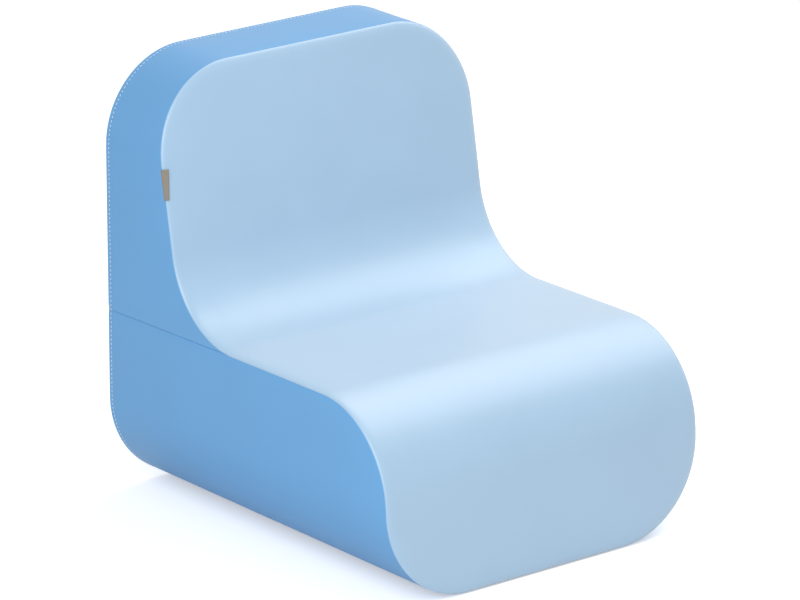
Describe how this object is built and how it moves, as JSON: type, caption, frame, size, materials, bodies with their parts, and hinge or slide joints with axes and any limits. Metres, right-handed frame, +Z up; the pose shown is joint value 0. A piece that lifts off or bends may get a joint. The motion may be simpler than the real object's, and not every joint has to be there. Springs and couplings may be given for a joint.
{
  "type": "foam floor chair",
  "caption": "Child's foam floor chair with an S-shaped seat and back in a sewn two-tone vinyl cover, closed by a zip across the flat back.",
  "frame": {"origin": "on the floor, under the middle of the overall box", "axes": "+Z up, -Y the way the sitter faces, +X across the chair to the sitter's left"},
  "size_m": [0.52, 0.6082, 0.6],
  "materials": {
    "foam": "open-cell foam",
    "pale_vinyl": "satin, fine grain",
    "mid_vinyl": "satin, fine grain",
    "non_slip_base": "matt, dotted",
    "zip_tape": "woven",
    "zip_teeth": "satin",
    "zip_metal": "satin nickel",
    "woven_label": "woven"
  },
  "bodies": {
    "chair": {"seat_foam_block": "foam", "backrest_foam_block": "foam", "front_panel": "pale_vinyl", "upper_side_band": "mid_vinyl", "left_lower_panel": "mid_vinyl", "right_lower_panel": "mid_vinyl", "base_panel": "non_slip_base", "upper_back_panel": "mid_vinyl", "lower_back_panel": "mid_vinyl", "zip_upper_tape": "zip_tape", "zip_lower_tape": "zip_tape", "zip_upper_teeth": "zip_teeth", "zip_lower_teeth": "zip_teeth", "zip_end_stops": "zip_metal", "side_label": "woven_label"},
    "zip_slider": {"zip_slider": "zip_metal"},
    "zip_pull": {"zip_pull_tab": "zip_metal"}
  },
  "joints": [
    {"name": "zip_slide", "type": "slide", "parent": "chair", "child": "zip_slider", "axis": [-1, 0, 0], "range_m": [0, 0.412], "deforming": ["zip_upper_teeth", "zip_lower_teeth"]},
    {"name": "pull_swing", "type": "hinge", "parent": "zip_slider", "child": "zip_pull", "pos_m": [0.21, 0.3038, 0.15], "axis": [0, 0, -1], "range_deg": [0, 175]}
  ]
}
